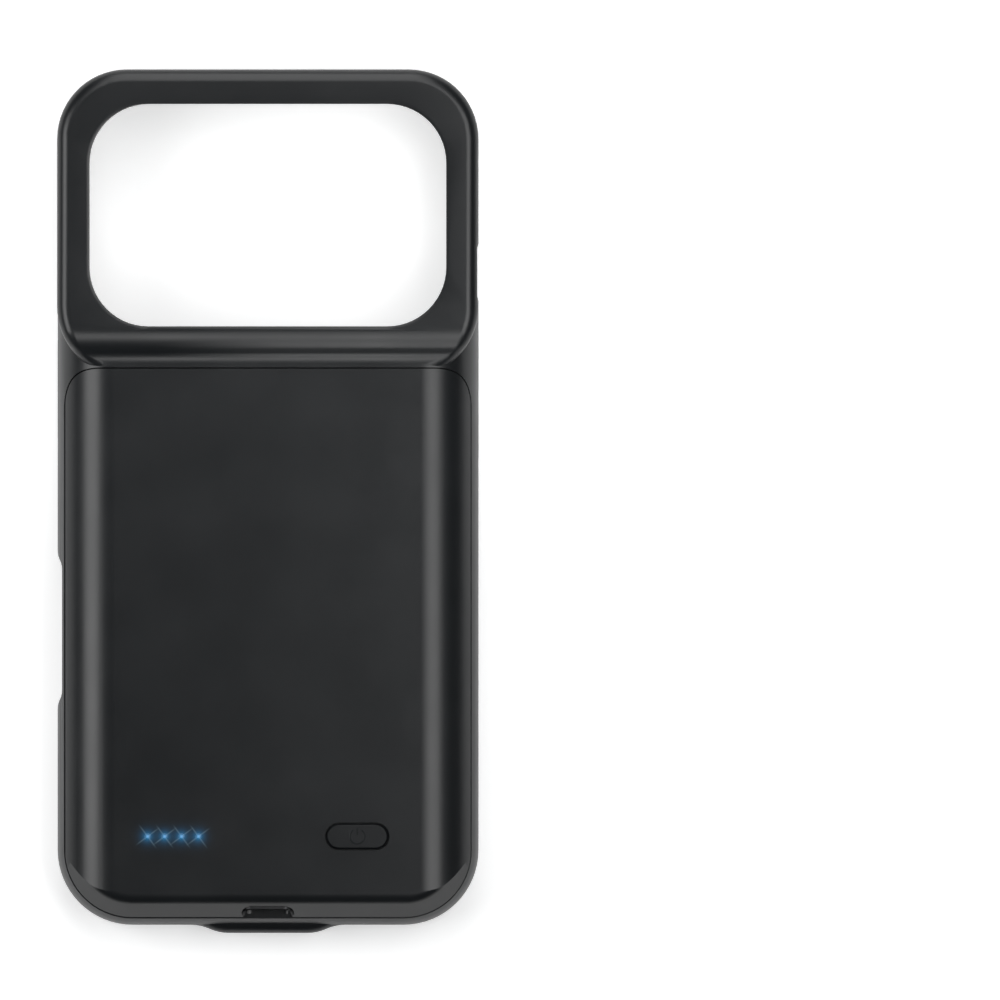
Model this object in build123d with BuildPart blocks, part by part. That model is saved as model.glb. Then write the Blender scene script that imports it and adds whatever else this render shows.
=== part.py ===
from build123d import *

import os
from math import cos, radians, sqrt, tan

os.makedirs("parts", exist_ok=True)

# Battery charging case, lying on its front rim with its back up.
# X runs across the case, Y along it to the camera end, Z up through its back.
# Origin: middle of the whole case, on the plane of the front rim. Millimetres.

# Device that the pocket is made for
device_width = 71.9
device_length = 150.0
device_thickness = 8.75
device_gap = 0.15
device_gap_z = 0.1
pocket_corner = 10.2

# Walls of the frame
side_wall = 2.4
top_wall = 2.4
bottom_wall = 3.7
front_lip = 1.1
lip_reach = 1.0
lip_bevel = 0.5
mid_wall = 1.0
top_corner = 12.7
bottom_corner = 13.7
rim_bevel = 0.9
ledge_rise = 0.55

# Battery hump and cover
shoulder_radius = 10.6
cover_wall = 1.25
cover_end_wall = 1.5
cover_corner = 6.0
corner_across = 6.8
corner_along = 8.6
corner_fullness = 0.74
end_draft = 30.0
end_round = 2.3
seam_gap = 0.22
reveal_height = 0.5
reveal_depth = 0.6
tongue_wall = 0.8
tongue_drop = 0.4
tongue_root = 0.9
tongue_gap = 0.12
side_margin = 0.12

# Camera surround
window_from_top = 6.3
window_width = 65.2
window_length = 40.65
window_corner = 10.8
window_bevel = 0.6
window_slant = 18.0
window_wall = 1.5
hood_rise = 2.4
hood_round = 2.35
hood_corner = 13.0
hood_slope_run = 6.9
hood_slope_split = 0.67
hood_toe = 2.5
hood_strip = 0.83
hood_roof = 1.6
core_rib = 1.0

# Chin below the device plug
chin_drop = 1.5
chin_outer = 12.4
chin_inner = 8.95
chin_bend = 8.5
chin_edge = 2.0
chin_overlap = 3.2
chin_shoulder = 5.0

# Battery
tape_thickness = 0.15
tape_width = 14.0
tape_inset = 8.0
cell_thickness = 4.1
cell_bevel = 1.4
cell_side_gap = 2.75
cell_end_gap = 0.5
swell_gap = 0.25
terrace_inset = 3.2
terrace_length = 3.4
terrace_thickness = 0.5
tab_width = 5.0
tab_spacing = 18.0
tab_thickness = 0.15
guard_width = 36.0
guard_length = 2.8
guard_thickness = 0.8
lead_width = 3.0
lead_thickness = 0.25
lead_spacing = 12.0
lead_room = 1.5
lead_landing = 1.8

# Main board
board_width = 54.0
board_length = 17.0
board_thickness = 0.8
board_standoff = 1.05
board_edge_gap = 0.5
board_corner = 1.6
notch_gap = 0.12
screw_diameter = 1.4
screw_fit = 0.02
screw_head = 2.6
screw_head_height = 0.9
screw_length = 2.0
screw_recess = 0.5
screw_edge = 1.8
boss_size = 3.2
board_notch = 1.7
rest_length = 6.0
rest_width = 1.2
rest_inset = 6.0

# Row of lights and the power button
control_from_bottom = 16.25
led_count = 4
led_pitch = 3.1
led_row_x = -17.3
led_length = 1.6
led_width = 0.8
led_height = 0.6
guide_diameter = 1.15
guide_fit = 0.03
guide_foot = 1.8
guide_lift = 0.2
baffle_hole = 2.2
baffle_width = 3.6
baffle_margin = 1.0
baffle_gap = 0.1
button_x = 16.35
button_length = 11.3
button_width = 4.6
button_gap = 0.25
button_flange = 0.7
button_flange_thickness = 0.6
button_bevel = 0.3
button_stem = 2.4
switch_length = 4.2
switch_width = 3.2
switch_height = 0.9
plunger_length = 2.2
plunger_width = 1.4
plunger_gap = 0.1
plunger_rise = 0.35
plunger_depth = 0.45

# Charging port
port_z = 13.2
port_width = 8.94
port_height = 3.16
port_shell = 0.3
port_length = 7.3
port_recess = 0.6
port_back = 0.5
port_opening_gap = 0.25
port_bevel = 0.45
port_tongue_width = 6.7
port_tongue_height = 0.7
port_tongue_length = 5.2
port_core_length = 1.4
port_core_gap = 0.03

# Device plug and its flex
plug_width = 8.25
plug_height = 2.4
plug_shell = 0.3
plug_reach = 6.65
plug_seat = 2.2
plug_fit = 0.04
plug_lip = 0.3
plug_slot_width = 6.9
plug_slot_height = 0.85
plug_slot_depth = 5.4
base_width = 12.6
base_height = 5.0
base_depth = 3.2
base_gap = 0.08
base_corner = 0.6
flex_width = 8.0
flex_thickness = 0.2
flex_bend = 0.5
flex_lift = 0.1
flex_channel_gap = 0.15
connector_width = 9.6
connector_length = 2.6
connector_gap = 0.6

# Chips on the board
inductor_size = 6.0
inductor_height = 2.2
inductor_corner = 1.2
inductor_x = -4.5
converter_size = 4.0
converter_height = 0.8
converter_x = 3.3
controller_size = 5.0
controller_height = 0.9
controller_from_edge = 10.0
controller_drop = 7.3
cap_length = 1.6
cap_width = 0.8
cap_height = 0.8
cap_spacing = 2.6
cap_columns = 4
cap_from_edge = 7.0
cap_drop = 7.3

# Key caps in the side walls
key_height = 3.2
key_gap = 0.2
key_bevel = 0.35
key_web = 1.25
key_flange = 0.8
key_flange_thickness = 0.6
key_pocket_gap = 0.2
key_nub_length = 5.0
key_nub_height = 1.8
key_nub_gap = 0.1
side_key_from_top = 58.4
side_key_length = 19.0
volume_up_from_top = 51.25
volume_down_from_top = 65.8
volume_key_length = 12.1
volume_notch = 0.15

# Finger scoops in the side walls
control_scoop_from_top = 102.4
control_scoop_outer = 27.3
control_scoop_inner = 23.8
control_scoop_depth = 0.84
control_scoop_bend = 3.9
control_slot_length = 20.5
action_scoop_from_top = 37.0
action_scoop_outer = 10.3
action_scoop_inner = 9.1
action_scoop_depth = 0.22
action_scoop_bend = 1.6
action_slot_length = 9.0
finger_slot_height = 5.0
sound_slot_length = 7.2
sound_slot_height = 2.0
sound_slot_x = 18.4

# Heights, from the front rim up
back_z = front_lip + device_thickness + 2 * device_gap_z
device_z = front_lip + device_gap_z + device_thickness / 2
floor_z = back_z + mid_wall
parting_z = floor_z + ledge_rise
reveal_z = parting_z - reveal_height
cell_z = floor_z + tape_thickness
roof_z = cell_z + cell_thickness + swell_gap
hump_z = roof_z + cover_wall
hood_z = hump_z + hood_rise
shoulder_z = hump_z - shoulder_radius
board_z = floor_z + board_standoff
board_top_z = board_z + board_thickness
plunger_z = board_top_z + switch_height + plunger_rise


def shoulder_inset(z, radius=shoulder_radius):
    """How far the rounded shoulder has drawn in at height z."""
    return radius - sqrt(radius**2 - (z - shoulder_z) ** 2)


# Plan of the frame
pocket_width = device_width + 2 * device_gap
pocket_length = device_length + 2 * device_gap
body_width = pocket_width + 2 * side_wall
body_length = pocket_length + top_wall + bottom_wall
half_width = body_width / 2
top_y = (body_length + chin_drop) / 2
bottom_y = top_y - body_length
pocket_top = top_y - top_wall
pocket_bottom = bottom_y + bottom_wall
rim_inset = shoulder_inset(parting_z)
rim_half_width = half_width - rim_inset
rim_bottom = bottom_y + rim_inset
rim_corner = bottom_corner - rim_inset

# Plan of the camera surround and of the cover below it
window_top = top_y - window_from_top
window_bottom = window_top - window_length
window_y = (window_top + window_bottom) / 2
window_drop = window_bevel * tan(radians(window_slant))
hood_foot = window_bottom - hood_slope_run
cover_top = hood_foot - hood_strip

# Plan of what the bay holds
bay_top = cover_top - cover_wall
bay_bottom = rim_bottom + cover_wall
tongue_inner = tongue_gap + tongue_wall
board_bottom = bay_bottom + tongue_inner + board_edge_gap
board_top = board_bottom + board_length
board_y = (board_bottom + board_top) / 2
cell_top = bay_top - tongue_inner - cell_end_gap
terrace_bottom = board_top + lead_room
cell_bottom = terrace_bottom + terrace_length
cell_length = cell_top - cell_bottom
cell_y = (cell_top + cell_bottom) / 2
cell_inset = shoulder_inset(cell_z + cell_thickness - cell_bevel, shoulder_radius - cover_wall)
cell_width = 2 * (half_width - cover_wall - cell_inset - cell_side_gap)
tab_z = cell_z + terrace_thickness
guard_z = tab_z + tab_thickness
guard_top_z = guard_z + guard_thickness
guard_y = (cell_bottom + terrace_bottom) / 2
control_y = bottom_y + control_from_bottom
port_mouth = rim_bottom + port_recess + (port_z - parting_z) * tan(radians(end_draft))
port_rear = port_mouth + port_length
plug_tip = pocket_bottom + plug_reach
flex_y = pocket_bottom - flex_channel_gap - flex_thickness / 2
flex_z = floor_z + flex_lift + flex_thickness / 2
connector_end = port_rear + connector_gap + connector_length
screw_places = [(side * (board_width / 2 - screw_edge), board_top - screw_edge) for side in (-1, 1)]
rest_places = [(side * (board_width / 2 - rest_inset), board_bottom + rest_width) for side in (-1, 1)]
led_places = [(led_row_x + (i - (led_count - 1) / 2) * led_pitch, control_y) for i in range(led_count)]

# Keys and scoops, by their middles along the side walls
side_key_y = top_y - side_key_from_top
volume_up_y = top_y - volume_up_from_top
volume_down_y = top_y - volume_down_from_top
control_scoop_y = top_y - control_scoop_from_top
action_scoop_y = top_y - action_scoop_from_top
pocket_half = pocket_width / 2
key_seat = half_width - key_web


# Plan outlines that several pieces share
def rounded_plan(width, bottom, top, bottom_radius, top_radius, z=0.0):
    """A rectangle centred on X at height z, with its own corner radius at each end."""
    with BuildSketch(Plane.XY.offset(z)) as plan:
        with Locations((0, (bottom + top) / 2)):
            Rectangle(width, top - bottom)
        fillet(plan.vertices().group_by(Axis.Y)[-1], top_radius)
        fillet(plan.vertices().group_by(Axis.Y)[0], bottom_radius)
    return plan.sketch


def rim_plan(inset, z):
    """Outline of the cover's foot on the parting plane, drawn in by inset."""
    return rounded_plan(
        2 * (rim_half_width + side_margin - inset),
        rim_bottom + inset,
        cover_top - inset,
        rim_corner - inset,
        cover_corner - inset,
        z,
    )


def seam_plan(grow, z):
    """Outline of the cover's sides and eased top corners, let out by grow and open past its foot."""
    side = rim_half_width + side_margin + grow
    top = cover_top + grow
    across = corner_across + grow
    along = corner_along + grow
    past = bottom_y - bottom_corner
    ease = 1 - corner_fullness
    with BuildSketch(Plane.XY.offset(z)) as plan:
        with BuildLine():
            Polyline((-side, top - along), (-side, past), (side, past), (side, top - along))
            Bezier(
                (side, top - along),
                (side, top - ease * along),
                (side - ease * across, top),
                (side - across, top),
            )
            Line((side - across, top), (across - side, top))
            Bezier(
                (across - side, top),
                (ease * across - side, top),
                (-side, top - ease * along),
                (-side, top - along),
            )
        make_face()
    return plan.sketch


def scoop_plan(side, middle, outer, inner, depth, bend):
    """Shallow finger scoop with eased ends, cut into one side of the plan."""
    edge = side * half_width
    floor = side * (half_width - depth)
    away = side * (half_width + bend)
    reach = outer / 2 + 2 * bend
    with BuildSketch() as plan:
        with BuildLine():
            Polyline(
                (away, middle + reach),
                (edge, middle + reach),
                (edge, middle + outer / 2),
                (floor, middle + inner / 2),
                (floor, middle - inner / 2),
                (edge, middle - outer / 2),
                (edge, middle - reach),
                (away, middle - reach),
                close=True,
            )
        make_face()
        fillet([v for v in plan.vertices() if abs(v.Y - middle) < outer / 2 + bend], bend)
    return plan.sketch


# The hump's form, for the cover's outside and, drawn in, for its inside
def hump_end(inset, brow):
    """Drafted end of the hump, its brow rounded to that radius or, at 0, left sharp."""
    foot = inset / cos(radians(end_draft))
    plan = rounded_plan(
        2 * (rim_half_width + side_margin / 2 - foot),
        rim_bottom + foot,
        top_y,
        rim_corner - foot,
        rim_corner - foot,
        parting_z,
    )
    with BuildPart() as end:
        extrude(plan, amount=hump_z - inset - parting_z, taper=end_draft)
        if brow:
            fillet(end.faces().sort_by(Axis.Z)[-1].edges(), brow)
    return end.part


def hump_form(inset, brow, seam):
    """Shouldered profile run along the case, met by the drafted end and the seam's outline."""
    end = hump_end(inset, brow)
    radius = shoulder_radius - inset
    flat = half_width - shoulder_radius
    side = flat + sqrt(radius**2 - (parting_z - shoulder_z) ** 2)
    with BuildPart() as form:
        with BuildSketch(Plane.XZ.offset(-cover_top)):
            with BuildLine():
                roof = Line((-flat, hump_z - inset), (flat, hump_z - inset))
                right = RadiusArc(roof @ 1, (side, parting_z), radius)
                base = Line(right @ 1, (-side, parting_z))
                RadiusArc(base @ 1, roof @ 0, radius)
            make_face()
        extrude(amount=cover_top - bottom_y)
        add(end, mode=Mode.INTERSECT)
        extrude(seam, amount=hump_z, mode=Mode.INTERSECT)
    return form.part


# Main frame
body_plan = rounded_plan(body_width, bottom_y, top_y, bottom_corner, top_corner)
pocket_plan = rounded_plan(pocket_width, pocket_bottom, pocket_top, pocket_corner, pocket_corner, front_lip)
lip_plan = rounded_plan(
    pocket_width - 2 * lip_reach,
    pocket_bottom + lip_reach,
    pocket_top - lip_reach,
    pocket_corner - lip_reach,
    pocket_corner - lip_reach,
)
lip_mouth_reach = lip_reach - lip_bevel
lip_mouth_plan = rounded_plan(
    pocket_width - 2 * lip_mouth_reach,
    pocket_bottom + lip_mouth_reach,
    pocket_top - lip_mouth_reach,
    pocket_corner - lip_mouth_reach,
    pocket_corner - lip_mouth_reach,
)
cover_seat_plan = seam_plan(seam_gap, parting_z)
reveal_plan = seam_plan(seam_gap, reveal_z) - rim_plan(reveal_depth, reveal_z)
hood_plan = rounded_plan(
    body_width,
    hood_foot - hood_toe,
    top_y,
    hood_corner,
    top_corner,
    shoulder_z - mid_wall,
)
window_plan = rounded_plan(window_width, window_bottom, window_top, window_corner, window_corner)
window_mouth_plan = rounded_plan(
    window_width,
    window_bottom,
    window_top,
    window_corner,
    window_corner,
    hood_z - window_drop,
)
core_plan = rounded_plan(
    pocket_width,
    hood_foot + side_wall,
    pocket_top,
    hood_corner - side_wall,
    pocket_corner,
    back_z,
)
core_island_plan = rounded_plan(
    window_width + 2 * window_wall,
    window_bottom - window_wall,
    window_top + window_wall,
    window_corner + window_wall,
    window_corner + window_wall,
    back_z,
)
bay_plan = rim_plan(cover_wall, floor_z)
control_scoop = scoop_plan(
    -1,
    control_scoop_y,
    control_scoop_outer,
    control_scoop_inner,
    control_scoop_depth,
    control_scoop_bend,
)
action_scoop = scoop_plan(
    1,
    action_scoop_y,
    action_scoop_outer,
    action_scoop_inner,
    action_scoop_depth,
    action_scoop_bend,
)

with BuildPart() as chin:
    with BuildSketch() as chin_plan:
        with BuildLine():
            Polyline(
                (-chin_outer - chin_shoulder, bottom_y + chin_overlap),
                (-chin_outer - chin_shoulder, bottom_y),
                (-chin_outer, bottom_y),
                (-chin_inner, bottom_y - chin_drop),
                (chin_inner, bottom_y - chin_drop),
                (chin_outer, bottom_y),
                (chin_outer + chin_shoulder, bottom_y),
                (chin_outer + chin_shoulder, bottom_y + chin_overlap),
                close=True,
            )
        make_face()
        fillet([v for v in chin_plan.vertices() if abs(v.X) < chin_outer + chin_shoulder / 2], chin_bend)
    extrude(amount=shoulder_z + chin_edge)
    chin_top = chin.faces().sort_by(Axis.Z)[-1]
    fillet([e for e in chin_top.edges() if e.center().Y < bottom_y + chin_edge / 4], chin_edge)
    chin_foot = chin.faces().sort_by(Axis.Z)[0]
    chamfer([e for e in chin_foot.edges() if e.center().Y < bottom_y + chin_edge / 4], rim_bevel)

with BuildPart() as hood:
    extrude(hood_plan, amount=hood_z - shoulder_z + mid_wall)
    # Slope down to the hump: a long brow, a shorter hollow, then a level toe
    with BuildSketch(Plane.YZ.offset(-half_width)):
        with BuildLine():
            bend_y = window_bottom - hood_slope_run * hood_slope_split
            bend_z = hood_z - hood_rise * hood_slope_split
            brow = TangentArc((window_bottom, hood_z), (bend_y, bend_z), tangent=(-1, 0))
            hollow = TangentArc(brow @ 1, (hood_foot, hump_z), tangent=brow % 1)
            Polyline(
                hollow @ 1,
                (hood_foot - 2 * hood_toe, hump_z),
                (hood_foot - 2 * hood_toe, hood_z + hood_rise),
                (window_bottom, hood_z + hood_rise),
                brow @ 0,
            )
        make_face()
    extrude(amount=body_width, mode=Mode.SUBTRACT)
    # One round along the whole upper edge
    tops = [f for f in hood.faces() if f.normal_at().Z > 0.5]
    borders = [e for f in tops for e in f.edges()]
    fillet([e for e in borders if borders.count(e) == 1], hood_round)

with BuildPart() as main_frame:
    extrude(body_plan, amount=hump_z)
    fillet(main_frame.faces().sort_by(Axis.Z)[-1].edges(), shoulder_radius)
    chamfer(main_frame.faces().sort_by(Axis.Z)[0].edges(), rim_bevel)
    add(chin.part)
    add(hood.part)
    # Seat of the cover, with the shadow line below its foot
    extrude(cover_seat_plan, amount=hump_z, mode=Mode.SUBTRACT)
    extrude(reveal_plan, amount=reveal_height, mode=Mode.SUBTRACT)
    extrude(control_scoop, amount=hood_z, mode=Mode.SUBTRACT)
    extrude(action_scoop, amount=hood_z, mode=Mode.SUBTRACT)
    # Device pocket, front opening with its lead-in bevel, and camera window
    extrude(pocket_plan, amount=back_z - front_lip, mode=Mode.SUBTRACT)
    extrude(lip_plan, amount=front_lip, mode=Mode.SUBTRACT)
    extrude(lip_mouth_plan, amount=lip_bevel, taper=45, mode=Mode.SUBTRACT)
    extrude(core_plan - core_island_plan, amount=hump_z - hood_roof - back_z, mode=Mode.SUBTRACT)
    extrude(window_plan, amount=hood_z, mode=Mode.SUBTRACT)
    extrude(window_mouth_plan, amount=2 * window_drop, taper=window_slant - 90, mode=Mode.SUBTRACT)
    extrude(bay_plan, amount=parting_z - floor_z, mode=Mode.SUBTRACT)
    # Key slots with the flange pockets behind them
    for side, middle, length in (
        (-1, side_key_y, side_key_length),
        (1, volume_up_y, volume_key_length),
        (1, volume_down_y, volume_key_length),
    ):
        with BuildSketch(Plane.YZ.offset(side * pocket_half)):
            with Locations((middle, device_z)):
                SlotOverall(length + 2 * key_gap, key_height + 2 * key_gap)
        extrude(amount=side * side_wall, mode=Mode.SUBTRACT)
        with BuildSketch(Plane.YZ.offset(side * pocket_half)):
            with Locations((middle, device_z)):
                Rectangle(
                    length + 2 * (key_flange + key_pocket_gap),
                    key_height + 2 * (key_flange + key_pocket_gap),
                )
        extrude(amount=side * (side_wall - key_web), mode=Mode.SUBTRACT)
    with BuildSketch(Plane.YZ.offset(half_width - volume_notch)):
        with Locations(((volume_up_y + volume_down_y) / 2, device_z)):
            Rectangle(volume_up_y - volume_down_y - volume_key_length + 2 * key_gap, key_height)
    extrude(amount=volume_notch, mode=Mode.SUBTRACT)
    # Finger slots, sound slots, and the plug's seat in the bottom wall
    for side, middle, length in (
        (-1, control_scoop_y, control_slot_length),
        (1, action_scoop_y, action_slot_length),
    ):
        with BuildSketch(Plane.YZ.offset(side * pocket_half)):
            with Locations((middle, device_z)):
                SlotOverall(length, finger_slot_height)
        extrude(amount=side * side_wall, mode=Mode.SUBTRACT)
    with BuildSketch(Plane.XZ.offset(-pocket_bottom)):
        with Locations((-sound_slot_x, device_z), (sound_slot_x, device_z)):
            SlotOverall(sound_slot_length, sound_slot_height)
    extrude(amount=bottom_wall, mode=Mode.SUBTRACT)
    with BuildSketch(Plane.XZ.offset(-pocket_bottom)):
        with Locations((0, device_z)):
            Rectangle(base_width + 2 * base_gap, base_height + 2 * base_gap)
    extrude(amount=base_depth, mode=Mode.SUBTRACT)
    # Channel and slot that carry the flex up into the bay
    with BuildSketch(Plane.XY.offset(device_z)):
        with Locations((0, pocket_bottom)):
            Rectangle(
                flex_width + 4 * flex_channel_gap,
                2 * (flex_thickness + 2 * flex_channel_gap),
            )
    extrude(amount=floor_z - device_z, mode=Mode.SUBTRACT)
    with BuildSketch(Plane.XZ.offset(-rim_bottom - reveal_depth)):
        with Locations((0, port_z)):
            SlotOverall(port_width + 2 * port_opening_gap, port_height + 2 * port_opening_gap)
    extrude(amount=cover_wall, both=True, mode=Mode.SUBTRACT)
    # Screw bosses for the board's inner edge and rests for its outer edge
    with BuildSketch(Plane.XY.offset(floor_z)):
        with Locations(*screw_places):
            Rectangle(boss_size, boss_size)
        with Locations(*rest_places):
            Rectangle(rest_length, rest_width)
    extrude(amount=board_standoff)
    with BuildSketch(Plane.XY.offset(board_z)):
        with Locations(*screw_places):
            Circle(screw_diameter / 2 + screw_fit)
    extrude(amount=-(screw_length + screw_recess - board_thickness), mode=Mode.SUBTRACT)
    # Ribs across the hollow of the camera surround
    with BuildSketch(Plane.XY.offset(back_z + mid_wall)):
        rib_x = (pocket_half + window_width / 2 + window_wall) / 2
        rib_width = pocket_half - window_width / 2
        for along in (window_y - window_length / 4, window_y + window_length / 4):
            with Locations((-rib_x, along), (rib_x, along)):
                Rectangle(rib_width, core_rib)
        rib_y = (pocket_top + window_top + window_wall) / 2
        with Locations((-window_width / 4, rib_y), (window_width / 4, rib_y)):
            Rectangle(core_rib, pocket_top - window_top)
        rib_y = (hood_foot + side_wall + window_bottom - window_wall) / 2
        with Locations((-window_width / 4, rib_y), (window_width / 4, rib_y)):
            Rectangle(core_rib, hood_slope_run - side_wall)
    extrude(amount=hump_z - hood_roof - back_z - mid_wall)
main_frame.part.label = "main_frame"
export_step(main_frame.part, "parts/main_frame.step")

# Battery cover
cover_outside = hump_form(0.0, end_round, seam_plan(0.0, parting_z))
cover_inside = hump_form(
    cover_wall,
    0.0,
    rounded_plan(
        2 * (rim_half_width + side_margin - cover_wall),
        bottom_y,
        cover_top - cover_end_wall,
        cover_corner - cover_wall,
        cover_corner - cover_wall,
        parting_z,
    ),
)
tongue_plan = rim_plan(cover_wall + tongue_gap, parting_z - tongue_drop)
tongue_bore = rim_plan(cover_wall + tongue_inner, parting_z - tongue_drop)
with BuildPart() as battery_cover:
    add(cover_outside)
    add(cover_inside, mode=Mode.SUBTRACT)
    # Tongue that sets the cover in the frame
    extrude(tongue_plan - tongue_bore, amount=tongue_drop + tongue_root)
    # Holes for the lights and the power button
    with BuildSketch(Plane.XY.offset(roof_z)):
        with Locations(*led_places):
            Circle(guide_diameter / 2 + guide_fit)
    extrude(amount=cover_wall, mode=Mode.SUBTRACT)
    with BuildSketch(Plane.XY.offset(roof_z)):
        with Locations((button_x, control_y)):
            SlotOverall(button_length + 2 * button_gap, button_width + 2 * button_gap)
    extrude(amount=cover_wall, mode=Mode.SUBTRACT)
    # Charging port with its bevel, and the gap in the tongue where the flex passes
    with BuildSketch(Plane.XZ.offset(-port_rear)):
        with Locations((0, port_z)):
            SlotOverall(port_width + 2 * port_opening_gap, port_height + 2 * port_opening_gap)
    extrude(amount=port_rear - bottom_y, mode=Mode.SUBTRACT)
    with BuildSketch(Plane.XZ.offset(-port_mouth + port_bevel)):
        with Locations((0, port_z)):
            SlotOverall(port_width + 2 * port_opening_gap, port_height + 2 * port_opening_gap)
    extrude(amount=port_recess + port_height / 2, taper=-45 / 2, mode=Mode.SUBTRACT)
    with BuildSketch(Plane.XY.offset(parting_z - tongue_drop)):
        with Locations((0, bay_bottom + tongue_inner / 2)):
            Rectangle(flex_width + 4 * flex_channel_gap, tongue_inner + tongue_wall)
    extrude(amount=tongue_drop, mode=Mode.SUBTRACT)
battery_cover.part.label = "battery_cover"
export_step(battery_cover.part, "parts/battery_cover.step")

# Power button: cap, retaining flange and stem
with BuildPart() as power_button:
    with BuildSketch(Plane.XY.offset(roof_z - button_flange_thickness)):
        with Locations((button_x, control_y)):
            Rectangle(
                button_length + 2 * (button_gap + button_flange),
                button_width + 2 * (button_gap + button_flange),
            )
    extrude(amount=button_flange_thickness)
    with BuildSketch(Plane.XY.offset(roof_z)):
        with Locations((button_x, control_y)):
            SlotOverall(button_length, button_width)
    extrude(amount=cover_wall)
    chamfer(power_button.faces().sort_by(Axis.Z)[-1].edges(), button_bevel)
    with BuildSketch(Plane.XY.offset(plunger_z)):
        with Locations((button_x, control_y)):
            Rectangle(button_stem, button_stem)
    extrude(amount=roof_z - button_flange_thickness - plunger_z)
power_button.part.label = "power_button"
export_step(power_button.part, "parts/power_button.step")

# Switch under the button
with BuildPart() as switch_body:
    with BuildSketch(Plane.XY.offset(board_top_z)):
        with Locations((button_x, control_y)):
            Rectangle(switch_length, switch_width)
            Rectangle(plunger_length + 2 * plunger_gap, plunger_width + 2 * plunger_gap, mode=Mode.SUBTRACT)
    extrude(amount=switch_height)
switch_body.part.label = "switch_body"
export_step(switch_body.part, "parts/switch_body.step")

with BuildPart() as switch_plunger:
    with BuildSketch(Plane.XY.offset(board_top_z + plunger_depth)):
        with Locations((button_x, control_y)):
            Rectangle(plunger_length, plunger_width)
    extrude(amount=switch_height + plunger_rise - plunger_depth)
switch_plunger.part.label = "switch_plunger"
export_step(switch_plunger.part, "parts/switch_plunger.step")

# Status lights, their baffle and their light guides
with BuildPart() as status_leds:
    with BuildSketch(Plane.XY.offset(board_top_z)):
        with Locations(*led_places):
            Rectangle(led_length, led_width)
    extrude(amount=led_height)
status_leds.part.label = "status_leds"
export_step(status_leds.part, "parts/status_leds.step")

with BuildPart() as led_baffle:
    with BuildSketch(Plane.XY.offset(board_top_z)):
        with Locations((led_row_x, control_y)):
            Rectangle(led_pitch * (led_count - 1) + baffle_hole + 2 * baffle_margin, baffle_width)
        with Locations(*led_places):
            Rectangle(baffle_hole, baffle_hole, mode=Mode.SUBTRACT)
    extrude(amount=roof_z - baffle_gap - board_top_z)
led_baffle.part.label = "led_baffle"
export_step(led_baffle.part, "parts/led_baffle.step")

with BuildPart() as light_guides:
    with BuildSketch(Plane.XY.offset(board_top_z + led_height + guide_lift)):
        with Locations(*led_places):
            Rectangle(guide_foot, guide_foot)
    extrude(amount=roof_z - board_top_z - led_height - guide_lift)
    with BuildSketch(Plane.XY.offset(roof_z)):
        with Locations(*led_places):
            Circle(guide_diameter / 2)
    extrude(amount=cover_wall)
light_guides.part.label = "light_guides"
export_step(light_guides.part, "parts/light_guides.step")

# Main board, notched for the charging port
with BuildPart() as main_board:
    with BuildSketch(Plane.XY.offset(board_z)) as board_plan:
        with Locations((0, board_y)):
            Rectangle(board_width, board_length)
        chamfer(board_plan.vertices(), board_corner)
        with Locations((0, (board_bottom + port_rear + notch_gap) / 2)):
            Rectangle(port_width + 2 * notch_gap, port_rear + notch_gap - board_bottom, mode=Mode.SUBTRACT)
        with Locations(*[(x, y - board_notch / 2) for x, y in screw_places]):
            Rectangle(
                board_notch,
                screw_edge + board_notch / 2,
                align=(Align.CENTER, Align.MIN),
                mode=Mode.SUBTRACT,
            )
    extrude(amount=board_thickness)
main_board.part.label = "main_board"
export_step(main_board.part, "parts/main_board.step")

with BuildPart() as board_screws:
    with BuildSketch(Plane.XY.offset(board_top_z)):
        with Locations(*screw_places):
            RegularPolygon(screw_head / 2, 6)
    extrude(amount=screw_head_height)
    with BuildSketch(Plane.XY.offset(board_top_z)):
        with Locations(*screw_places):
            Circle(screw_diameter / 2)
    extrude(amount=-screw_length)
board_screws.part.label = "board_screws"
export_step(board_screws.part, "parts/board_screws.step")

# Chips, inductor and capacitors
with BuildPart() as power_inductor:
    with BuildSketch(Plane.XY.offset(board_top_z)):
        with Locations((inductor_x, control_y)):
            Rectangle(inductor_size, inductor_size)
    extrude(amount=inductor_height)
    chamfer(power_inductor.edges().filter_by(Axis.Z), inductor_corner)
power_inductor.part.label = "power_inductor"
export_step(power_inductor.part, "parts/power_inductor.step")

with BuildPart() as boost_converter:
    with BuildSketch(Plane.XY.offset(board_top_z)):
        with Locations((converter_x, control_y)):
            Rectangle(converter_size, converter_size)
    extrude(amount=converter_height)
boost_converter.part.label = "boost_converter"
export_step(boost_converter.part, "parts/boost_converter.step")

with BuildPart() as charge_controller:
    with BuildSketch(Plane.XY.offset(board_top_z)):
        with Locations((controller_from_edge - board_width / 2, control_y - controller_drop)):
            Rectangle(controller_size, controller_size)
    extrude(amount=controller_height)
charge_controller.part.label = "charge_controller"
export_step(charge_controller.part, "parts/charge_controller.step")

with BuildPart() as board_capacitors:
    with BuildSketch(Plane.XY.offset(board_top_z)):
        with Locations((board_width / 2 - cap_from_edge, control_y - cap_drop)):
            with GridLocations(cap_spacing, cap_spacing, cap_columns, 2):
                Rectangle(cap_width, cap_length)
    extrude(amount=cap_height)
board_capacitors.part.label = "board_capacitors"
export_step(board_capacitors.part, "parts/board_capacitors.step")

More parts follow.
